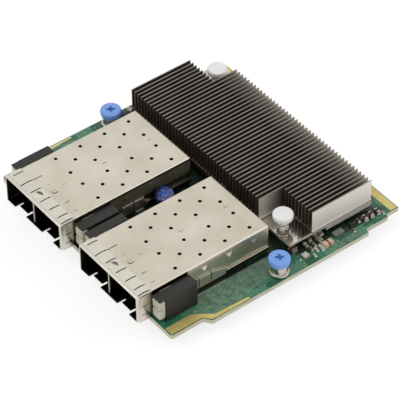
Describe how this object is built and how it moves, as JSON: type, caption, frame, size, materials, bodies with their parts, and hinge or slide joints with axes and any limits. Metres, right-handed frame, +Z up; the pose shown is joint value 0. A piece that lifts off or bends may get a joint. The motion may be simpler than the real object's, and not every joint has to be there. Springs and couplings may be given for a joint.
{
  "type": "mezzanine network card",
  "caption": "Mezzanine network card: a circuit board with double pluggable-module cages, a finned heatsink on push pins and captive thumbscrews that fasten it to a host board.",
  "frame": {"origin": "middle of the footprint, on the plane that the board-to-board connector and the screw tips stand on", "axes": "+Z up from the underside to the heatsink, -Y out of the ports, +X to the right of someone who looks into the ports"},
  "size_m": [0.092, 0.0926, 0.0175],
  "materials": {
    "board_green": "satin solder mask over glass-fibre board, bare gold plating along the edges",
    "cage_metal": "tin-plated sheet metal, warm grey",
    "spring_metal": "plated spring sheet and wire",
    "heatsink_aluminium": "plain machined aluminium",
    "steel": "plain turned steel",
    "black_plastic": "moulded, satin",
    "clear_plastic": "frosted clear moulding",
    "white_plastic": "moulded, satin",
    "blue_plastic": "moulded, satin",
    "pad_grey": "soft filled silicone",
    "ceramic": "fired ceramic with plated ends"
  },
  "bodies": {
    "card": {"board_connector": "black_plastic", "cage_floor_left": "cage_metal", "cage_floor_right": "cage_metal", "cage_shell_left": "cage_metal", "cage_shell_right": "cage_metal", "capacitor_1": "ceramic", "capacitor_2": "ceramic", "capacitor_3": "ceramic", "capacitor_4": "ceramic", "capacitor_5": "ceramic", "capacitor_6": "ceramic", "circuit_board": "board_green", "controller": "black_plastic", "driver_chip": "black_plastic", "edge_connector_left_1": "black_plastic", "edge_connector_left_2": "black_plastic", "edge_connector_right_1": "black_plastic", "edge_connector_right_2": "black_plastic", "gap_capacitor": "ceramic", "gap_inductor": "ceramic", "heatsink": "heatsink_aluminium", "inductor": "ceramic", "left_capacitor": "ceramic", "left_chip": "black_plastic", "light_left_1": "clear_plastic", "light_left_2": "clear_plastic", "light_pipe_holder_left_1": "black_plastic", "light_pipe_holder_left_2": "black_plastic", "light_pipe_holder_right_1": "black_plastic", "light_pipe_holder_right_2": "black_plastic", "light_pipe_left_1": "clear_plastic", "light_pipe_left_2": "clear_plastic", "light_pipe_right_1": "clear_plastic", "light_pipe_right_2": "clear_plastic", "light_right_1": "clear_plastic", "light_right_2": "clear_plastic", "port_divider_left": "cage_metal", "port_divider_right": "cage_metal", "power_chip": "black_plastic", "push_pin_front": "white_plastic", "push_pin_rear": "white_plastic", "push_pin_spring_front": "spring_metal", "push_pin_spring_rear": "spring_metal", "resistor": "ceramic", "spring_collar_left": "spring_metal", "spring_collar_right": "spring_metal", "thermal_pad": "pad_grey", "thumbscrew_ferrule_left": "steel", "thumbscrew_ferrule_middle": "steel", "thumbscrew_ferrule_right": "steel", "thumbscrew_spring_left": "spring_metal", "thumbscrew_spring_middle": "spring_metal", "thumbscrew_spring_right": "spring_metal"},
    "screw_right": {"thumbscrew_knob_right": "blue_plastic", "thumbscrew_right": "steel"},
    "screw_middle": {"thumbscrew_knob_middle": "blue_plastic", "thumbscrew_middle": "steel"},
    "screw_left": {"thumbscrew_knob_left": "blue_plastic", "thumbscrew_left": "steel"}
  },
  "joints": [
    {"name": "screw_turn_right", "type": "hinge", "parent": "card", "child": "screw_right", "pos_m": [0.0425, -0.0001, 0.006], "axis": [0, 0, 1], "continuous": true},
    {"name": "screw_turn_middle", "type": "hinge", "parent": "card", "child": "screw_middle", "pos_m": [-0.0012, -0.0105, 0.006], "axis": [0, 0, 1], "continuous": true},
    {"name": "screw_turn_left", "type": "hinge", "parent": "card", "child": "screw_left", "pos_m": [-0.0425, -0.0001, 0.006], "axis": [0, 0, 1], "continuous": true}
  ]
}
